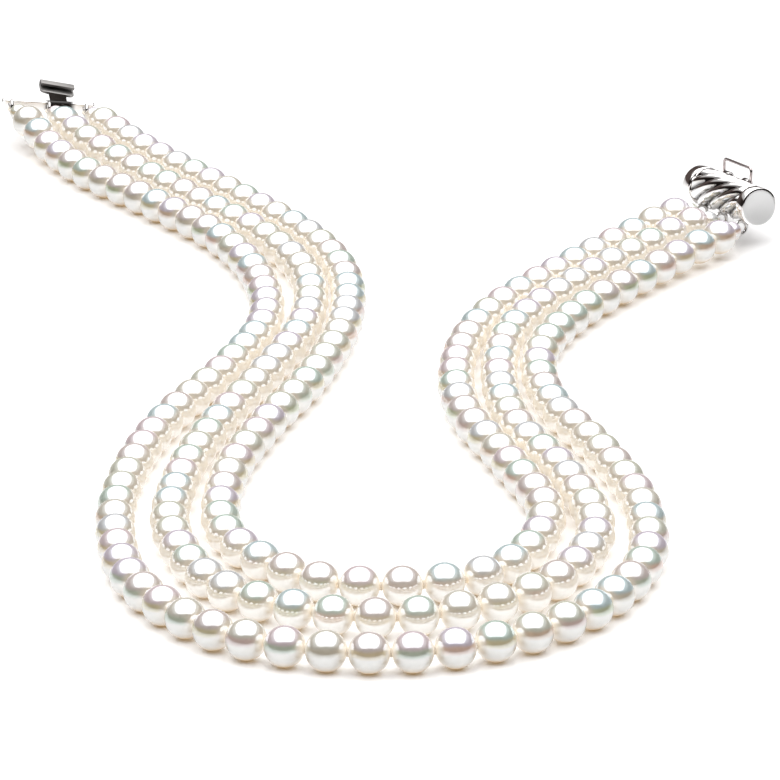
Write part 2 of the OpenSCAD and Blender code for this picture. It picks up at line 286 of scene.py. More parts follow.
def makeOvertoneAndGlowGroup():
    # A pearl's tint follows the height of its surface: one tone at its middle, another above, cream below;
    # close to other pearls the tone gives way to cream, a painted reflection of their sides.
    # It has a painted glow below, standing in for light from the table that comes through the nacre, and
    # where other pearls stand close, standing in for light bounced between them
    colors = ("Body", "Middle", "Upper", "Under Glow", "Deep Glow", "Near Glow")
    group, given, result = startGroup(
        "nacreOvertoneAndPaintedGlow",
        [(name, "NodeSocketColor", (0.5, 0.5, 0.5, 1)) for name in colors]
        + [("Nearness", "NodeSocketFloat", 0), ("Cloud", "NodeSocketFloat", 0.1)],
        [("Color", "NodeSocketColor"), ("Glow", "NodeSocketColor"), ("Height", "NodeSocketFloat")])
    body, middle, upper, underGlow, deepGlow, nearGlow = [given.outputs[name] for name in colors]
    nearness = given.outputs["Nearness"]
    coordinates = addNode(group, "ShaderNodeTexCoord").outputs["Object"]
    soft = addNoise(group, coordinates, overtone["softNoise"])
    fine = addNoise(group, coordinates, overtone["fineNoise"], detail=4, roughness=0.6)
    axes = addNode(group, "ShaderNodeSeparateXYZ")
    group.links.new(addNode(group, "ShaderNodeNewGeometry").outputs["Normal"], axes.inputs[0])
    drift = addMath(group, "MULTIPLY", addMath(group, "SUBTRACT", soft, 0.5), given.outputs["Cloud"])
    rise = addMath(group, "ADD", axes.outputs[2], drift)
    tone = addMix(group, addRamp(group, rise, *overtone["upper"]), middle, upper)
    color = addMix(group, addRamp(group, rise, *overtone["middle"]), body, tone)
    # painted reflection: close to other pearls the tone gives way to cream
    color = addMix(group, addRamp(group, nearness, *overtone["near"]), color, body)
    group.links.new(color, result.inputs["Color"])
    # painted glow below the middle of a pearl, and where other pearls stand close
    deep = addMix(group, addRamp(group, rise, *overtone["deep"], 1, 0), underGlow, deepGlow)
    below = addMix(group, addRamp(group, rise, *overtone["under"], 1, 0), (0, 0, 0), deep)
    between = addMix(group, nearness, (0, 0, 0), nearGlow)
    group.links.new(addMix(group, 1, below, between, "ADD"), result.inputs["Glow"])
    group.links.new(fine, result.inputs["Height"])
    return group


handling = {"lineDetail": 6, "cloudScale": 300}


def makeHandlingGroup():
    # Faint clouding and hairlines that polished metal picks up
    group, given, result = startGroup(
        "handlingMarks",
        [("Scale", "NodeSocketFloat", 900), ("Stretch", "NodeSocketFloat", 1)],
        [("Marks", "NodeSocketFloat"), ("Cloud", "NodeSocketFloat")])
    coordinates = addNode(group, "ShaderNodeTexCoord").outputs["Object"]
    stretch = addNode(group, "ShaderNodeCombineXYZ")
    group.links.new(given.outputs["Stretch"], stretch.inputs["X"])
    stretch.inputs["Y"].default_value = 1
    stretch.inputs["Z"].default_value = 1
    pulled = addNode(group, "ShaderNodeVectorMath", operation="MULTIPLY")
    group.links.new(coordinates, pulled.inputs[0])
    group.links.new(stretch.outputs[0], pulled.inputs[1])
    lines = addNode(group, "ShaderNodeTexNoise")
    lines.inputs["Detail"].default_value = handling["lineDetail"]
    group.links.new(pulled.outputs[0], lines.inputs["Vector"])
    group.links.new(given.outputs["Scale"], lines.inputs["Scale"])
    group.links.new(lines.outputs["Fac"], result.inputs["Marks"])
    group.links.new(addNoise(group, coordinates, handling["cloudScale"]), result.inputs["Cloud"])
    return group


overtoneAndGlowGroup = makeOvertoneAndGlowGroup()
handlingGroup = makeHandlingGroup()

nacre = {
    "body": (0.6, 0.545, 0.465, 1),
    "mirror": 4.2,            # refractive index of the layers together: four tenths of the light come back
    "mirrorTint": (0.9, 0.95, 1, 1),
    # painted glow: emission standing in for light from the table coming through the nacre (under, deep) and
    # light bounced between close pearls (near)
    "underGlow": (0.19, 0.18, 0.185, 1),
    "deepGlow": (0.2, 0.13, 0.06, 1),
    "nearGlow": (0.29, 0.24, 0.18, 1),
    "cloud": 0.16,            # how far the tints drift
    "rough": (0.08, 0.13),
    "bump": 0.02,
    "coat": 0.2,
    "coatRough": 0.04,
}


def makeNacre():
    material, tree, shader = startMaterial("nacre")
    middle, upper, near = [addNode(tree, "ShaderNodeAttribute", attribute_name=name)
                           for name in ("middleTone", "upperTone", "nearness")]
    tint = placeGroup(tree, overtoneAndGlowGroup, {
        "Body": nacre["body"], "Middle": middle.outputs["Color"], "Upper": upper.outputs["Color"],
        "Under Glow": nacre["underGlow"], "Deep Glow": nacre["deepGlow"], "Near Glow": nacre["nearGlow"],
        "Nearness": near.outputs["Fac"], "Cloud": nacre["cloud"]})
    tree.links.new(tint.outputs["Color"], shader.inputs["Base Color"])
    # painted glow: the emission stands in for light through the nacre and bounced between pearls
    tree.links.new(tint.outputs["Glow"], shader.inputs["Emission Color"])
    shader.inputs["Emission Strength"].default_value = 1
    addRoughness(tree, shader, tint.outputs["Height"], nacre["rough"])
    addBump(tree, shader, tint.outputs["Height"], nacre["bump"])
    shader.inputs["IOR"].default_value = nacre["mirror"]
    shader.inputs["Specular Tint"].default_value = nacre["mirrorTint"]
    shader.inputs["Coat Weight"].default_value = nacre["coat"]
    shader.inputs["Coat Roughness"].default_value = nacre["coatRough"]
    return material


# Painted dark: a near-black mixed into the silver where a piece asks for it, as painted shade and dark
# reflection
paintedDarkTint = (0.02, 0.018, 0.017)
# Each finish has two tints, a span of roughness, the fineness, stretch and depth of its hairlines, how
# bright it is where one looks along it, and whether it takes the painted dark
metals = {
    "polishedSilver": {"tint": (0.93, 0.915, 0.905), "otherTint": (0.9, 0.88, 0.87), "rough": (0.03, 0.07),
                       "lines": 1400, "stretch": 1, "depth": 0.01, "grazing": 0.8, "takesPaintedDark": True},
    "satinSilver": {"tint": (0.77, 0.77, 0.765), "otherTint": (0.72, 0.72, 0.715), "rough": (0.32, 0.45),
                    "lines": 5200, "stretch": 1, "depth": 0.25, "grazing": 1, "takesPaintedDark": False},
    "wireSilver": {"tint": (0.54, 0.48, 0.475), "otherTint": (0.46, 0.41, 0.405), "rough": (0.16, 0.24),
                   "lines": 1800, "stretch": 1, "depth": 0.05, "grazing": 1, "takesPaintedDark": False},
    "springSilver": {"tint": (0.36, 0.35, 0.34), "otherTint": (0.25, 0.24, 0.235), "rough": (0.4, 0.52),
                     "lines": 2200, "stretch": 0.12, "depth": 0.12, "grazing": 0.3, "takesPaintedDark": True},
}


def makeMetal(name):
    metal = metals[name]
    material, tree, shader = startMaterial(name)
    marks = placeGroup(tree, handlingGroup, {"Scale": metal["lines"], "Stretch": metal["stretch"]})
    tint = addMix(tree, marks.outputs["Cloud"], metal["tint"], metal["otherTint"])
    if metal["takesPaintedDark"]:
        # painted shade and dark reflection, mixed in by the values each piece gives
        darkMask = addNode(tree, "ShaderNodeAttribute", attribute_name="paintedDark")
        tint = addMix(tree, darkMask.outputs["Fac"], tint, paintedDarkTint)
    tree.links.new(tint, shader.inputs["Base Color"])
    addRoughness(tree, shader, marks.outputs["Marks"], metal["rough"])
    addBump(tree, shader, marks.outputs["Marks"], metal["depth"])
    shader.inputs["Metallic"].default_value = 1
    grazing = metal["grazing"]
    shader.inputs["Specular Tint"].default_value = (grazing, grazing, grazing, 1)
    return material


silkSetup = {
    "light": (0.9, 0.85, 0.76),
    "dark": (0.62, 0.54, 0.43),
    "twist": 2200,
    "uneven": 1.5,
    "bump": 0.5,
    "rough": 0.6,
    "sheen": 0.4,
}


def makeSilk():
    material, tree, shader = startMaterial("silk")
    coordinates = addNode(tree, "ShaderNodeTexCoord").outputs["Object"]
    wave = addNode(tree, "ShaderNodeTexWave", wave_type="BANDS", bands_direction="DIAGONAL")
    wave.inputs["Scale"].default_value = silkSetup["twist"]
    wave.inputs["Distortion"].default_value = silkSetup["uneven"]
    tree.links.new(coordinates, wave.inputs["Vector"])
    tint = addMix(tree, wave.outputs["Fac"], silkSetup["dark"], silkSetup["light"])
    tree.links.new(tint, shader.inputs["Base Color"])
    addBump(tree, shader, wave.outputs["Fac"], silkSetup["bump"])
    shader.inputs["Roughness"].default_value = silkSetup["rough"]
    shader.inputs["Sheen Weight"].default_value = silkSetup["sheen"]
    return material


nacreMaterial = makeNacre()
polishedSilver = makeMetal("polishedSilver")
satinSilver = makeMetal("satinSilver")
wireSilver = makeMetal("wireSilver")
springSilver = makeMetal("springSilver")
silkMaterial = makeSilk()
print("materials are mixed")


# Meshes are built from rings of points; a piece ends up with one of the finishes above
def meshFrom(name, points, faces):
    mesh = bpy.data.meshes.new(name)
    mesh.from_pydata([tuple(p) for p in points], [], faces)
    mesh.validate()
    shape = bmesh.new()
    shape.from_mesh(mesh)
    bmesh.ops.recalc_face_normals(shape, faces=shape.faces)
    shape.to_mesh(mesh)
    shape.free()
    return mesh


def finishPiece(name, mesh, material, body, replaced, sharpAngle=40):
    mesh.materials.append(material)
    mesh.shade_smooth()
    mesh.set_sharp_from_angle(angle=math.radians(sharpAngle))
    piece = bpy.data.objects.new(name, mesh)
    bpy.context.scene.collection.objects.link(piece)
    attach(piece, body)
    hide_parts(*replaced)


def addValues(mesh, name, values):
    layer = mesh.attributes.new(name, "FLOAT", "POINT")
    layer.data.foreach_set("value", values)


def bridgeRings(start, rings, around, closed=False):
    # Quads between rings of points that follow each other in the list, from the point numbered start
    faces = []
    for ring in range(rings if closed else rings - 1):
        here, there = start + ring * around, start + (ring + 1) % rings * around
        for k in range(around):
            m = (k + 1) % around
            faces.append((here + k, here + m, there + m, there + k))
    return faces


def turns(count):
    # Angles that divide a full turn
    return [2 * math.pi * k / count for k in range(count)]


def arc(x, y, radius, start, stop, steps=5):
    # Points round (x, y) between two angles in degrees
    angles = [math.radians(start + (stop - start) * i / steps) for i in range(steps + 1)]
    return [(x + radius * math.cos(a), y + radius * math.sin(a)) for a in angles]


def spunShell(matrix, profile, around, closed=True):
    # A shell turned round the x axis, from pairs of distance along it and radius
    points = []
    for x, r in profile:
        for a in turns(around):
            points.append(matrix @ Vector((x, r * math.cos(a), r * math.sin(a))))
    faces = bridgeRings(0, len(profile), around, closed)
    if not closed:
        faces += endFaces(0, len(profile), around)
    return points, faces


def endFaces(start, rings, around):
    last = start + (rings - 1) * around
    return [tuple(range(start, start + around))[::-1], tuple(range(last, last + around))]


def joinShells(*shells):
    points, faces = [], []
    for morePoints, moreFaces in shells:
        start = len(points)
        points += morePoints
        faces += [tuple(start + k for k in face) for face in moreFaces]
    return points, faces


wireTip = 0.8                 # share of a wire's radius that is left at its ends


def wire(path, radius, around):
    # A closed round wire along a path, its ends slightly drawn in
    path = [Vector(p) for p in path]
    points, side = [], None
    for i, spot in enumerate(path):
        way = (path[min(i + 1, len(path) - 1)] - path[max(i - 1, 0)]).normalized()
        side = way.orthogonal() if side is None else side
        side = (side - way * side.dot(way)).normalized()
        up = way.cross(side)
        size = radius * (wireTip if i in (0, len(path) - 1) else 1)
        for a in turns(around):
            points.append(spot + (side * math.cos(a) + up * math.sin(a)) * size)
    return points, bridgeRings(0, len(path), around) + endFaces(0, len(path), around)


def wireRing(matrix, ringRadius, wireRadius, around=40, section=16):
    # A ring of wire that stands across the x axis
    points = []
    for a in turns(around):
        for b in turns(section):
            r = ringRadius + wireRadius * math.cos(b)
            points.append(matrix @ Vector((wireRadius * math.sin(b), r * math.cos(a), r * math.sin(a))))
    return points, bridgeRings(0, around, section, closed=True)


def cutBlock(mesh, matrix, size, edge):
    # Takes a block with round edges out of a mesh
    shape = bmesh.new()
    bmesh.ops.create_cube(shape, size=1, matrix=matrix @ Matrix.Diagonal((*size, 1)))
    bmesh.ops.bevel(shape, geom=shape.edges[:], offset=edge, segments=4, affect="EDGES")
    block = bpy.data.meshes.new("block")
    shape.to_mesh(block)
    shape.free()
    cutter = bpy.data.objects.new("block", block)
    piece = bpy.data.objects.new("uncut", mesh)
    for thing in (cutter, piece):
        bpy.context.scene.collection.objects.link(thing)
    change = piece.modifiers.new("cut", "BOOLEAN")
    change.operation = "DIFFERENCE"
    change.solver = "EXACT"
    change.object = cutter
    bpy.context.view_layer.update()
    result = bpy.data.meshes.new_from_object(piece.evaluated_get(bpy.context.evaluated_depsgraph_get()))
    for thing in (cutter, piece):
        bpy.data.objects.remove(thing)
    return result


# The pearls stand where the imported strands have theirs
pearlSetup = {
    "around": 44,             # points round the thread
    "along": 22,              # steps from one drill hole to the other
    "drill": 0.8 * mm,
    "weld": 0.001 * mm,       # points of a packed strand that are closer are one
    "seed": 7,
    "reach": 18 * mm,         # pearls further off leave no mark
    # overtones at the middle and upper part of a pearl
    "tones": [(0.76, 0.63, 0.57), (0.73, 0.71, 0.56), (0.81, 0.64, 0.64), (0.59, 0.69, 0.57),
              (0.74, 0.63, 0.7), (0.78, 0.71, 0.58), (0.7, 0.69, 0.68), (0.58, 0.7, 0.69)],
    "middleShade": (0.82, 0.74, 0.59),    # the overtone is warmer at the middle than above it
    "upperShade": (0.74, 0.755, 0.77),
    "upperGrey": 0.1,         # share of plain grey in it
}


def fitSphere(points):
    # Centre and radius of the sphere that the points lie on
    rows = np.column_stack([2 * points, np.ones(len(points))])
    a, b, c, d = np.linalg.lstsq(rows, (points ** 2).sum(axis=1), rcond=None)[0]
    return Vector((a, b, c)), math.sqrt(d + a * a + b * b + c * c)


def readPearls(node):
    # Every loose island of a packed strand is one pearl
    shape = bmesh.new()
    shape.from_mesh(frame["nodes"][node].data)
    bmesh.ops.remove_doubles(shape, verts=shape.verts, dist=pearlSetup["weld"])
    left = set(shape.verts)
    pearls = []
    while left:
        island, edge = set(), [left.pop()]
        while edge:
            vert = edge.pop()
            island.add(vert)
            near = {e.other_vert(vert) for e in vert.link_edges} & left
            left -= near
            edge.extend(near)
        pearls.append(fitSphere(np.array([tuple(v.co) for v in island])))
    shape.free()
    return pearls


def middleOf(node):
    low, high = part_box(node)
    return (Vector(low) + Vector(high)) / 2


def inOrder(pearls):
    # From the end bar along the strand to the barrel
    here = middleOf("end_bar")
    ordered, left = [], list(pearls)
    while left:
        nearest = min(left, key=lambda p: (p[0] - here).length)
        left.remove(nearest)
        ordered.append(nearest)
        here = nearest[0]
    return ordered


def pearlPoints(centre, radius, axis, drill):
    side = axis.cross(Vector((0, 0, 1))).normalized()
    top = side.cross(axis)
    first = math.asin(drill / 2 / radius)
    points = []
    for i in range(pearlSetup["along"] + 1):
        angle = first + (math.pi - 2 * first) * i / pearlSetup["along"]
        for turn in turns(pearlSetup["around"]):
            ray = (side * math.cos(turn) + top * math.sin(turn)) * math.sin(angle) + axis * math.cos(angle)
            points.append(centre + ray * radius)
    return points


def nearness(points, centre, radius, others):
    # How much of the view from each point of a pearl is filled by other pearls, 0 to 1; it places the
    # painted glow and the painted reflection between pearls
    spots = np.array([tuple(p) for p in points])
    normals = (spots - np.array(centre)) / radius
    filled = np.zeros(len(spots))
    for there, size in others:
        away = np.array(there) - spots
        far = np.linalg.norm(away, axis=1)
        facing = (normals * away).sum(axis=1) / far
        filled += np.maximum(facing, 0) * np.minimum(size / far, 1) ** 2
    return np.minimum(filled, 1)


def makeStrand(name, node, pearls, dice):
    points, faces, middle, upper, near = [], [], [], [], []
    rings, grey = pearlSetup["along"] + 1, pearlSetup["upperGrey"]
    for i, (centre, radius) in enumerate(pearls):
        axis = (pearls[min(i + 1, len(pearls) - 1)][0] - pearls[max(i - 1, 0)][0]).normalized()
        faces += bridgeRings(len(points), rings, pearlSetup["around"], closed=True)
        ownPoints = pearlPoints(centre, radius, axis, pearlSetup["drill"])
        points += ownPoints
        others = [pearl for row in strands.values() for pearl in row
                  if 0 < (pearl[0] - centre).length < pearlSetup["reach"]]
        near.append(nearness(ownPoints, centre, radius, others))
        tones = dice.sample(pearlSetup["tones"], 2)
        middle.append([shade * c for shade, c in zip(pearlSetup["middleShade"], tones[0])])
        upper.append([shade * (1 - grey) * c + grey * shade
                      for shade, c in zip(pearlSetup["upperShade"], tones[1])])
    mesh = meshFrom(name, points, faces)
    perPearl = rings * pearlSetup["around"]
    for title, colors in (("middleTone", middle), ("upperTone", upper)):
        layer = mesh.color_attributes.new(title, "FLOAT_COLOR", "POINT")
        values = np.repeat(np.column_stack([colors, np.ones(len(colors))]), perPearl, axis=0)
        layer.data.foreach_set("color", values.ravel())
    addValues(mesh, "nearness", np.concatenate(near))
    finishPiece(name, mesh, nacreMaterial, bodyOf[node], [node], sharpAngle=60)


bodyOf = {node: body for body, nodes in frame["record"]["behaviour"]["bodies"].items() for node in nodes}
dice = random.Random(pearlSetup["seed"])
strands = {place: inOrder(readPearls("strand_" + place)) for place in ("outer", "middle", "inner")}
for place in strands:
    makeStrand("pearls_" + place, "strand_" + place, strands[place], dice)
    print(place, "strand has", len(strands[place]), "pearls")


def frameAt(place, turn):
    a, b, c = [math.radians(t) for t in turn]
    turned = Matrix.Rotation(c, 4, "Z") @ Matrix.Rotation(b, 4, "Y") @ Matrix.Rotation(a, 4, "X")
    return Matrix.Translation(place) @ turned


# The wire lugs that the strands end on, three on the barrel and three on the end bar
lug = {
    "spacing": 6.6 * mm,
    "ring": 1.05 * mm,        # middle of the wire
    "wire": 0.3 * mm,
    "lugDarkening": 0.4,              # how much the lug wires are darkened
}

# The barrel: twisted ropes between two plain bands, x along it and y towards the slot
barrel = {
    "turn": (0, -3.9, -64.6),
    "length": 20 * mm,
    "radius": 3.25 * mm,
    "bore": 2.2 * mm,
    "band": 2.2 * mm,
    "bandEdge": 0.3 * mm,     # rounding of a band next to the ropes
    "rim": 0.3 * mm,
    "bandEnd": 0.14 * mm,     # the plain of a band stops this much before its end
    "rimSlope": 0.18,         # the ring round an end cap slopes back, more so further out
    "rimDome": 0.85 * mm,
    "rimWide": 0.9,           # share of the ring that slopes
    "rimSteps": 6,
    "recess": 0.8 * mm,       # depth of the seat of an end cap
    "ropes": 8,
    "lead": 30 * mm,          # length for one turn of a rope
    "valley": 0.6 * mm,
    "ropeLift": 0.02 * mm,    # the ropes stand out over the bands by this much
    "ropeBack": 0.85,         # below 1 the back of a rope is fuller than a sine curve
    "valleyDark": 0.9,        # painted shade at its bottom, and how far up it reaches
    "valleyWide": 0.75,
    "slotBright": 0.5 * mm,   # no painted shade within this of the slot
    "taper": 1.3 * mm,        # length in which a rope sinks under a band
    "around": 144,
    "ropeRings": 80,
    "slotSize": (6.5 * mm, 3 * mm, 1.7 * mm),
    "slotAt": (-1 * mm, 3 * mm, 0),
    "slotEdge": 0.25 * mm,
    "lugShift": 1 * mm,
    "lugAngle": -58,
    "lugReach": 4.1 * mm,
    "hingeAt": (-1.9 * mm, 2.7186 * mm, 2.124 * mm),
    "hingeEnd": 4.05 * mm,    # outer end of a hinge tube, from the bail's middle
    "hingeTube": 1.8 * mm,
    "hingeRadius": 0.65 * mm,
    "hingeBore": 0.35 * mm,
    "hingeEdge": 0.1 * mm,
    "hingeAround": 32,
}
barrelFrame = frameAt((middleOf("end_cap_far") + middleOf("end_cap_near")) / 2, barrel["turn"])


def barrelLug(place):
    angle = math.radians(barrel["lugAngle"])
    return (barrel["lugShift"] + place * lug["spacing"], -barrel["lugReach"] * math.cos(angle),
            barrel["lugReach"] * math.sin(angle))


def barrelShell():
    half, r, edge = barrel["length"] / 2, barrel["radius"], barrel["bandEdge"]
    rim, low = r - barrel["rim"], r + barrel["ropeLift"] - barrel["valley"]
    inner, seat = half - barrel["band"], half - barrel["recess"]
    domeSteps = barrel["rimSteps"]
    dome = [barrel["rimWide"] * barrel["rim"] * (1 - k / domeSteps) for k in range(domeSteps + 1)]
    right = arc(inner + edge, r - edge, edge, 180, 90) + [(half - barrel["bandEnd"], r)]
    right += [(half - q * barrel["rimSlope"] - q * q / 2 / barrel["rimDome"], rim + q) for q in dome]
    right += [(seat, rim), (seat, barrel["bore"])]
    # each ring is its place along the barrel, its radius and the height of the ropes on it
    rings = [(x, y, 0) for x, y in right]
    rings += [(-x, y, 0) for x, y in reversed(right)]
    steps = barrel["ropeRings"]
    for i in range(steps + 1):
        x = inner * (2 * i / steps - 1)
        short = 1 - min(1, (inner - abs(x)) / barrel["taper"])
        rings.append((x, low, barrel["valley"] * math.sqrt(1 - short * short)))
    points = []
    for x, radius, height in rings:
        twist = 2 * math.pi * (x + inner) / barrel["lead"]
        for a in turns(barrel["around"]):
            size = radius + height * abs(math.sin(barrel["ropes"] * (a + twist) / 2)) ** barrel["ropeBack"]
            points.append(barrelFrame @ Vector((x, size * math.cos(a), size * math.sin(a))))
    return points, bridgeRings(0, len(rings), barrel["around"], closed=True)


def valleyShade(spot):
    # Painted shade: the silver is painted dark in the valleys between the ropes, where shade falls between
    # them
    inner = barrel["length"] / 2 - barrel["band"]
    fromSlot = [abs(a - b) - c / 2 for a, b, c in zip(spot, barrel["slotAt"], barrel["slotSize"])]
    if abs(spot.x) > inner or max(fromSlot) < barrel["slotBright"]:
        return 0
    twist = 2 * math.pi * (spot.x + inner) / barrel["lead"]
    height = abs(math.sin(barrel["ropes"] * (math.atan2(spot.z, spot.y) + twist) / 2))
    return barrel["valleyDark"] * max(0, 1 - height / barrel["valleyWide"])


def makeBarrel():
    slot = barrelFrame @ Matrix.Translation(barrel["slotAt"])
    shell = cutBlock(meshFrom("barrelShell", *barrelShell()), slot, barrel["slotSize"], barrel["slotEdge"])
    half, edge = barrel["hingeTube"] / 2, barrel["hingeEdge"]
    right = arc(half - edge, barrel["hingeRadius"] - edge, edge, 90, 0, steps=3)
    right += arc(half - edge, barrel["hingeBore"] + edge, edge, 0, -90, steps=3)
    hinge = barrelFrame @ Matrix.Translation(barrel["hingeAt"])
    tubes = [spunShell(hinge @ Matrix.Translation((side * (barrel["hingeEnd"] - half), 0, 0)),
                       right + [(-x, y) for x, y in reversed(right)], barrel["hingeAround"])
             for side in (-1, 1)]
    rings = [wireRing(barrelFrame @ Matrix.Translation(barrelLug(place)), lug["ring"], lug["wire"])
             for place in (-1, 0, 1)]
    extra = meshFrom("barrelFittings", *joinShells(*tubes, *rings))
    shape = bmesh.new()
    shape.from_mesh(shell)
    bare = len(shape.verts)
    shape.from_mesh(extra)
    shape.to_mesh(shell)
    shape.free()
    # painted shade in the valleys between the ropes; the lug wires are darkened a little
    valleys = [valleyShade(barrelFrame.inverted() @ v.co) for v in shell.vertices[:bare]]
    addValues(shell, "paintedDark", valleys + [lug["lugDarkening"]] * (len(shell.vertices) - bare))
    finishPiece("ropeBarrel", shell, polishedSilver, bodyOf["clasp_barrel"],
                ["clasp_barrel"])


endCap = {
    "radius": 2.94 * mm,
    "thick": 0.8 * mm,
    "edge": 0.05 * mm,
    "dish": 0.1 * mm,
    "middle": 0.02 * mm,      # radius of its innermost ring
    "around": 96,
    "rings": 12,
}


def makeEndCap(name, node, side):
    # A satin disc, very slightly hollow
    low, edge, r = barrel["length"] / 2 - endCap["thick"], endCap["edge"], endCap["radius"]
    top = low + endCap["thick"]
    profile = [(low, endCap["middle"]), (low, r)] + arc(top - edge, r - edge, edge, 90, 0)
    for i in range(1, endCap["rings"]):
        share = i / endCap["rings"]
        profile.append((top - endCap["dish"] * math.sin(math.pi / 2 * share), (r - edge) * (1 - share)))
    profile.append((top - endCap["dish"], endCap["middle"]))
    matrix = barrelFrame @ Matrix.Diagonal((side, 1, 1, 1))
    shell = spunShell(matrix, profile, endCap["around"], closed=False)
    finishPiece(name, meshFrom(name, *shell), satinSilver, bodyOf[node], [node])


bail = {
    "lean": -4,               # degrees from upright, away from the strands
    "wire": 0.25 * mm,
    "legs": 4.45 * mm,        # half the distance between the legs
    "height": 2.55 * mm,
    "foot": 0.3 * mm,         # bend at the foot of a leg
    "bend": 0.6 * mm,         # bend at its top
    "pin": 2.3 * mm,          # where a pin ends inside the tube
    "pinTip": 0.06 * mm,      # its end narrows over this length
    "around": 20,
}


def makeBail():
    matrix = (barrelFrame @ Matrix.Translation(barrel["hingeAt"])
              @ Matrix.Rotation(math.radians(bail["lean"]), 4, "X"))
    x, top, foot, bend, pin = bail["legs"], bail["height"], bail["foot"], bail["bend"], bail["pin"]
    side = [(pin, 0), (pin + bail["pinTip"], 0), ((pin + x) / 2, 0)]
    side += arc(x - foot, foot, foot, -90, 0, steps=7) + arc(x - bend, top - bend, bend, 0, 90, steps=10)
    path = [(a, 0, b) for a, b in side] + [(-a, 0, b) for a, b in reversed(side)]
    shell = wire([matrix @ Vector(p) for p in path], bail["wire"], bail["around"])
    finishPiece("wireBail", meshFrom("wireBail", *shell), wireSilver, bodyOf["safety_bail"],
                ["safety_bail"])


endBar = {
    "place": (-0.0579, 0.1236, 0.00475),
    "turn": (12, 7, 9.5),
    "length": 16.4 * mm,
    "height": 1.6 * mm,
    "thick": 1 * mm,
    "edge": 0.216 * mm,
    "endRound": 0.5 * mm,
    "endThin": 0.5,           # how much of the rounding goes off the thickness, and off the height
    "endLow": 1.6,
    "endSteps": 7,
    "lugAt": -1.35 * mm,
    "lugStart": -0.52 * mm,   # what lies further back belongs to a lug
    "dark": 2 * mm,           # half width of the stretch painted dark round the tongue's root
    "darkEdge": 0.9 * mm,
    "steps": 60,              # along the bar
}
barFrame = frameAt(endBar["place"], endBar["turn"])


def roundedRing(width, height, edge, steps=3):
    # Corners of an upright rectangle with round edges, as pairs
    a, b = width / 2 - edge, height / 2 - edge
    return (arc(a, b, edge, 0, 90, steps) + arc(-a, b, edge, 90, 180, steps)
            + arc(-a, -b, edge, 180, 270, steps) + arc(a, -b, edge, 270, 360, steps))


def barPaintedDark(spot):
    # Painted shade and dark reflection: the bar is painted dark round the root of the tongue; its lugs are
    # darkened a little
    if spot.y < endBar["lugStart"]:
        return lug["lugDarkening"]
    off = abs(spot.x - tongue["shift"])
    return 1 - min(1, max(0, (off - endBar["dark"]) / endBar["darkEdge"]))


def makeEndBar():
    half, soft = endBar["length"] / 2, endBar["endRound"]
    points, rings = [], 0
    quarter = [math.pi / 2 * i / endBar["endSteps"] for i in range(endBar["endSteps"] + 1)]
    ends = [(half - soft * (1 - math.sin(a)), soft * (1 - math.cos(a))) for a in quarter]
    between = [((half - soft) * (2 * i / endBar["steps"] - 1), 0) for i in range(1, endBar["steps"])]
    for x, less in [(-x, less) for x, less in reversed(ends)] + between + ends:
        thick, high = endBar["thick"] - less * endBar["endThin"], endBar["height"] - less * endBar["endLow"]
        ring = roundedRing(thick, high, endBar["edge"])
        points += [barFrame @ Vector((x, y, z)) for y, z in ring]
        rings += 1
    around = len(points) // rings
    plate = (points, bridgeRings(0, rings, around) + endFaces(0, rings, around))
    lugs = [wireRing(barFrame @ Matrix.Translation((place * lug["spacing"], endBar["lugAt"], 0)),
                     lug["ring"], lug["wire"]) for place in (-1, 0, 1)]
    mesh = meshFrom("slimBar", *joinShells(plate, *lugs))
    # painted shade and dark reflection round the tongue's root
    addValues(mesh, "paintedDark", [barPaintedDark(barFrame.inverted() @ v.co) for v in mesh.vertices])
    finishPiece("slimBar", mesh, polishedSilver, bodyOf["end_bar"], ["end_bar"])


tongue = {
    "shift": 2 * mm,          # from the middle lug, along the bar
    "roll": 7,
    "sheet": 0.4 * mm,
    "edge": 0.1 * mm,
    "neckHalf": 1.55 * mm,
    "headHalf": 3.05 * mm,
    "shoulder": 0.8 * mm,
    "headStart": 4.3 * mm,    # from the bar's middle
    "foldAt": 6.85 * mm,
    "foldRadius": 0.45 * mm,  # middle of the sheet
    "leafEnd": 5.6 * mm,
    "leafEdge": 0.1 * mm,     # the upper leaf narrows in this last stretch, by this much on each side
    "leafRound": 0.06 * mm,
    "root": 0.05 * mm,        # where the neck starts in the bar
    "neckShort": 0.12 * mm,   # it ends this much before the head
    "shoulderSteps": 8,
    "foldSteps": 14,
    "shoulderDark": 0.5,      # painted shade, where the neck has 1 and the head has none
    # painted shade at the free end of the upper leaf
    "leafDark": 0.3,
}
tongueFrame = (barFrame @ Matrix.Translation((tongue["shift"], 0, 0))
               @ Matrix.Rotation(math.radians(tongue["roll"]), 4, "Y"))


def tongueStations():
    # Places along the folded sheet: y, z, half width and painted shade
    neck, head = tongue["neckHalf"], tongue["headHalf"]
    start, end = tongue["headStart"], tongue["leafEnd"]
    fold, r, soft = tongue["foldAt"], tongue["foldRadius"], tongue["shoulder"]
    stations = [(y, 0, neck, 1) for y in (tongue["root"], start / 2, start - tongue["neckShort"])]
    steps = tongue["shoulderSteps"]
    for i in range(steps + 1):
        a = math.pi / 2 * i / steps
        half = head - soft * (1 - math.sin(a))
        stations.append((start + soft * (1 - math.cos(a)), 0, half, 0 if i else tongue["shoulderDark"]))
    stations.append(((start + soft + fold) / 2, 0, head, 0))
    stations += [(fold + y, r + z, head, 0) for y, z in arc(0, 0, r, -90, 90, tongue["foldSteps"])]
    stations += [((fold + end) / 2, 2 * r, head, 0), (end + tongue["leafEdge"], 2 * r, head, 0),
                 (end, 2 * r, head - tongue["leafRound"], tongue["leafDark"])]
    return stations


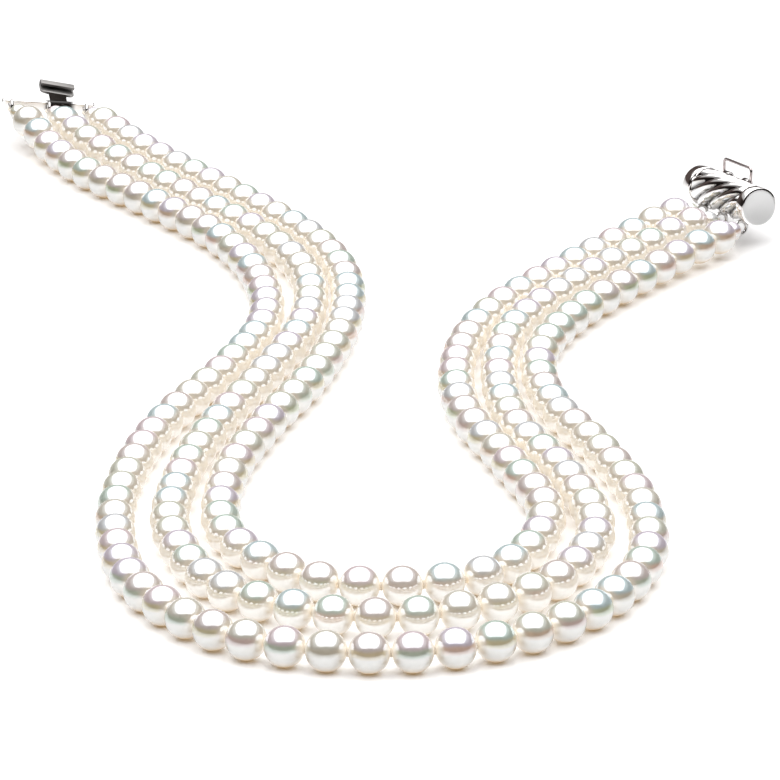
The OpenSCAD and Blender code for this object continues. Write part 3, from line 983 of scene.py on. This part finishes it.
def makeTongue():
    stations = tongueStations()
    middle = [Vector((0, y, z)) for y, z, half, dark in stations]
    points, shade = [], []
    for i, (y, z, half, dark) in enumerate(stations):
        way = (middle[min(i + 1, len(middle) - 1)] - middle[max(i - 1, 0)]).normalized()
        up = Vector((1, 0, 0)).cross(way)
        ring = roundedRing(2 * half, tongue["sheet"], tongue["edge"])
        points += [tongueFrame @ (middle[i] + Vector((1, 0, 0)) * a + up * b) for a, b in ring]
        shade += [dark] * len(ring)
    around = len(points) // len(stations)
    faces = bridgeRings(0, len(stations), around) + endFaces(0, len(stations), around)
    mesh = meshFrom("foldedTongue", points, faces)
    # painted shade on the neck, at the shoulder and at the upper leaf's end
    addValues(mesh, "paintedDark", shade)
    finishPiece("foldedTongue", mesh, springSilver, bodyOf["spring_tongue"],
                ["spring_tongue"])


makeBarrel()
makeEndCap("farCap", "end_cap_far", -1)
makeEndCap("nearCap", "end_cap_near", 1)
makeBail()
makeEndBar()
makeTongue()
print("clasp is built")

# Silk: a knot between each two pearls, and a turn of thread round each lug
thread = {
    "radius": 0.2 * mm,
    "around": 10,
    "knotRadius": 0.7 * mm,
    "knotThick": 0.15 * mm,
    "knotAround": 18,
    "knotSteps": 8,
    "knotCore": 0.35,         # radius of a knot at its flat sides, as a share
    "knotHole": 0.15 * mm,
    "eye": 0.62 * mm,         # radius of the turn round the lug wire
    "eyeDrop": 0.5 * mm,
    "eyeStart": 30,           # degrees
    "eyeTurn": 320,
    "eyeSteps": 30,
    "start": 0.7,             # where it leaves the last bead, as a share of the bead's radius
    "straight": 0.6,          # share of the way to the lug that it runs straight
}


def eyePath(centre, direction, bead):
    # One turn round the lug wire on the bead's side, from the bead's hole on
    away = bead[0] - centre
    out = (away - direction * away.dot(direction)).normalized()
    along = direction.cross(out)
    down = -along if along.z > 0 else along
    middle = centre + out * lug["ring"]
    steps = thread["eyeSteps"]
    angles = [math.radians(thread["eyeStart"] + thread["eyeTurn"] * k / steps) for k in range(steps + 1)]
    path = [middle + out * (thread["eye"] * math.cos(a)) + direction * (thread["eye"] * math.sin(a))
            + down * thread["eyeDrop"] * (i / steps - 0.5) for i, a in enumerate(angles)]
    hole = bead[0] - away.normalized() * bead[1] * thread["start"]
    return [hole, hole.lerp(path[0], thread["straight"])] + path


def makeThread(name, node, pearls, ends):
    shells = []
    for (here, r), (there, nextR) in zip(pearls, pearls[1:]):
        way = there - here
        middle = here + way.normalized() * (r + (way.length - r - nextR) / 2)
        matrix = Matrix.Translation(middle) @ way.to_track_quat("X", "Y").to_matrix().to_4x4()
        size, half = thread["knotRadius"], thread["knotThick"]
        profile = [(half, thread["knotHole"])]
        for k in range(1, thread["knotSteps"]):
            a = math.pi * k / thread["knotSteps"]
            swell = thread["knotCore"] + (1 - thread["knotCore"]) * math.sin(a)
            profile.append((half * math.cos(a), size * swell))
        profile.append((-half, thread["knotHole"]))
        shells.append(spunShell(matrix, profile, thread["knotAround"], closed=False))
    for (centre, direction), bead in zip(ends, (pearls[0], pearls[-1])):
        shells.append(wire(eyePath(centre, direction, bead), thread["radius"], thread["around"]))
    finishPiece(name, meshFrom(name, *joinShells(*shells)), silkMaterial, bodyOf[node], [node],
                sharpAngle=60)


barWay, barrelWay = barFrame.to_3x3() @ Vector((1, 0, 0)), barrelFrame.to_3x3() @ Vector((1, 0, 0))
for place, where in (("outer", -1), ("middle", 0), ("inner", 1)):
    ends = [(barFrame @ Vector((where * lug["spacing"], endBar["lugAt"], 0)), barWay),
            (barrelFrame @ Vector(barrelLug(-where)), barrelWay)]
    makeThread("silk_" + place, "thread_" + place, strands[place], ends)
print("strands are knotted")
